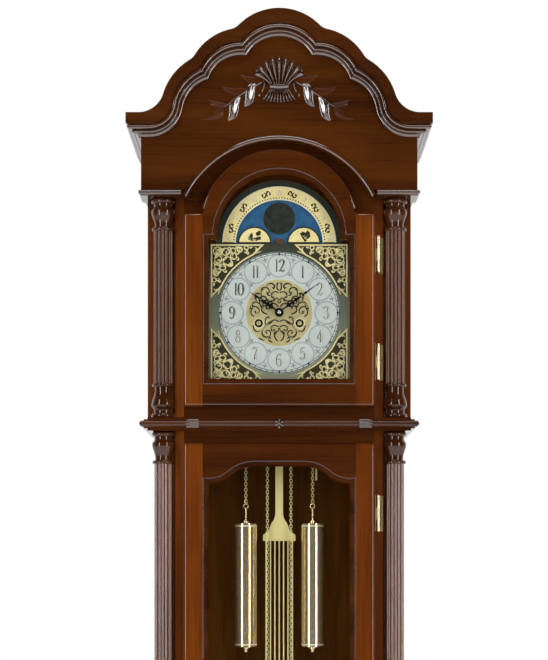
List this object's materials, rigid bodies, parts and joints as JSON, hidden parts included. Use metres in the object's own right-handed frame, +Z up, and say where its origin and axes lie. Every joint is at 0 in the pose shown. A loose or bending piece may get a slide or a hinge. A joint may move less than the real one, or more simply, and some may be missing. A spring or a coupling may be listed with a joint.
{
  "type": "longcase clock",
  "caption": "Longcase clock with a scalloped pediment, turned and reeded columns, glazed doors, a moon dial, chain-hung weights and a swinging pendulum.",
  "frame": {"origin": "on the floor under the middle of the case", "axes": "+Z up, +X to the viewer's right, the dial faces -Y"},
  "size_m": [0.6, 0.3, 2.1],
  "materials": {
    "walnut_gloss": "red-brown hardwood under gloss lacquer",
    "walnut_dark": "dark stained wood inside the case",
    "column_reeds": "red-brown hardwood under gloss lacquer, reeded",
    "seat_wood": "plain beech board",
    "polished_brass": "polished and lacquered",
    "gilt_brass": "cast and gilt",
    "satin_brass": "brushed sheet",
    "movement_brass": "turned and milled brass",
    "silvered": "silvered satin sheet",
    "moon_blue": "painted sky blue",
    "black_steel": "blackened",
    "steel": "bright steel",
    "cast_iron": "cast and painted dark",
    "clear_glass": "clear float glass"
  },
  "bodies": {
    "case": {"backboard": "walnut_dark", "base_skirt": "walnut_gloss", "levelling_feet": "steel", "bottom_board": "walnut_dark", "base_front_panel": "walnut_gloss", "base_side_panels": "walnut_gloss", "lower_waist_moulding": "walnut_gloss", "trunk_front_frame": "walnut_gloss", "trunk_side_panels": "walnut_gloss", "trunk_column_shafts": "column_reeds", "trunk_column_turnings": "walnut_gloss", "waist_moulding": "walnut_gloss", "hood_front_frame": "walnut_gloss", "hood_side_panels": "walnut_gloss", "hood_column_shafts": "column_reeds", "hood_column_turnings": "walnut_gloss", "pediment_board": "walnut_gloss", "cornice_moulding": "walnut_gloss", "cornice_returns": "walnut_gloss", "frieze_base_moulding": "walnut_gloss", "hood_roof": "walnut_dark", "pediment_carving": "walnut_gloss", "seatboard": "seat_wood", "dial_plate": "satin_brass", "chapter_ring": "silvered", "dial_centre": "gilt_brass", "corner_spandrels": "gilt_brass", "moon_arch": "gilt_brass", "movement_frame": "movement_brass", "chain_turns": "polished_brass", "chime_rods": "cast_iron", "suspension_cock": "movement_brass", "case_hinges": "polished_brass", "door_magnets": "steel"},
    "hood_door": {"hood_door_frame": "walnut_gloss", "hood_door_glass": "clear_glass", "hood_door_hinges": "polished_brass"},
    "trunk_door": {"trunk_door_frame": "walnut_gloss", "trunk_door_glass": "clear_glass", "trunk_door_hinges": "polished_brass"},
    "minute_work": {"minute_hand": "black_steel", "centre_wheel": "movement_brass"},
    "hour_work": {"hour_hand": "black_steel", "hour_wheel": "movement_brass"},
    "motion_work": {"motion_wheel": "movement_brass"},
    "third_work": {"third_wheel": "movement_brass"},
    "escape_work": {"escape_wheel": "movement_brass"},
    "anchor": {"anchor_and_crutch": "steel"},
    "moon": {"moon_disc": "moon_blue"},
    "hammer": {"strike_hammer": "movement_brass"},
    "left_chain_work": {"left_chain_wheel": "movement_brass"},
    "right_chain_work": {"right_chain_wheel": "movement_brass"},
    "pendulum": {"pendulum_rod": "polished_brass", "pendulum_bob": "polished_brass"},
    "left_weight_body": {"left_weight": "polished_brass", "left_weight_chain": "polished_brass"},
    "right_weight_body": {"right_weight": "polished_brass", "right_weight_chain": "polished_brass"},
    "left_free_run": {"left_free_chain": "polished_brass"},
    "right_free_run": {"right_free_chain": "polished_brass"}
  },
  "joints": [
    {"name": "hood_door_hinge", "type": "hinge", "parent": "case", "child": "hood_door", "pos_m": [0.197, -0.0983, 1.5], "axis": [0, 0, 1], "range_deg": [0, 100]},
    {"name": "trunk_door_hinge", "type": "hinge", "parent": "case", "child": "trunk_door", "pos_m": [0.197, -0.0983, 0.9], "axis": [0, 0, 1], "range_deg": [0, 100]},
    {"name": "minute_turn", "type": "hinge", "parent": "case", "child": "minute_work", "pos_m": [0, 0, 1.518], "axis": [0, 1, 0], "continuous": true},
    {"name": "hour_turn", "type": "hinge", "parent": "case", "child": "hour_work", "pos_m": [0, 0, 1.518], "axis": [0, 1, 0], "continuous": true},
    {"name": "motion_turn", "type": "hinge", "parent": "case", "child": "motion_work", "pos_m": [-0.02546, 0, 1.54346], "axis": [0, 1, 0], "continuous": true},
    {"name": "third_turn", "type": "hinge", "parent": "case", "child": "third_work", "pos_m": [0, 0, 1.554], "axis": [0, 1, 0], "continuous": true},
    {"name": "escape_turn", "type": "hinge", "parent": "case", "child": "escape_work", "pos_m": [0, 0, 1.588], "axis": [0, 1, 0], "continuous": true},
    {"name": "pendulum_swing", "type": "hinge", "parent": "case", "child": "pendulum", "pos_m": [0, 0.045, 1.622], "axis": [0, 1, 0], "range_deg": [-3, 3]},
    {"name": "anchor_rock", "type": "hinge", "parent": "case", "child": "anchor", "pos_m": [0, 0, 1.622], "axis": [0, 1, 0], "range_deg": [-3, 3]},
    {"name": "moon_turn", "type": "hinge", "parent": "case", "child": "moon", "pos_m": [0, 0, 1.657], "axis": [0, 1, 0], "continuous": true},
    {"name": "hammer_lift", "type": "hinge", "parent": "case", "child": "hammer", "pos_m": [0.059, 0, 1.49], "axis": [0, 1, 0], "range_deg": [0, 12]},
    {"name": "left_weight_drop", "type": "slide", "parent": "case", "child": "left_weight_body", "axis": [0, 0, 1], "range_m": [-0.6, 0.06], "deforming": ["left_weight_chain"]},
    {"name": "right_weight_drop", "type": "slide", "parent": "case", "child": "right_weight_body", "axis": [0, 0, 1], "range_m": [-0.6, 0.06], "deforming": ["right_weight_chain"]},
    {"name": "left_chain_turn", "type": "hinge", "parent": "case", "child": "left_chain_work", "pos_m": [-0.046, 0, 1.478], "axis": [0, 1, 0], "range_deg": [-1565, 160]},
    {"name": "right_chain_turn", "type": "hinge", "parent": "case", "child": "right_chain_work", "pos_m": [0.046, 0, 1.478], "axis": [0, 1, 0], "range_deg": [-160, 1565]},
    {"name": "left_free_slide", "type": "slide", "parent": "case", "child": "left_free_run", "axis": [0, 0, 1], "range_m": [-0.06, 0.6], "deforming": ["left_free_chain"]},
    {"name": "right_free_slide", "type": "slide", "parent": "case", "child": "right_free_run", "axis": [0, 0, 1], "range_m": [-0.06, 0.6], "deforming": ["right_free_chain"]}
  ],
  "couplings": [
    {"joint": "hour_turn", "follows": "minute_turn", "ratio": 0.083333},
    {"joint": "motion_turn", "follows": "minute_turn", "ratio": -0.5},
    {"joint": "third_turn", "follows": "minute_turn", "ratio": -8},
    {"joint": "escape_turn", "follows": "minute_turn", "ratio": 60},
    {"joint": "anchor_rock", "follows": "pendulum_swing", "ratio": 1},
    {"joint": "left_chain_turn", "follows": "left_weight_drop", "rad_per_m": 45.455},
    {"joint": "right_chain_turn", "follows": "right_weight_drop", "rad_per_m": -45.455},
    {"joint": "left_free_slide", "follows": "left_weight_drop", "ratio": -1},
    {"joint": "right_free_slide", "follows": "right_weight_drop", "ratio": -1}
  ]
}
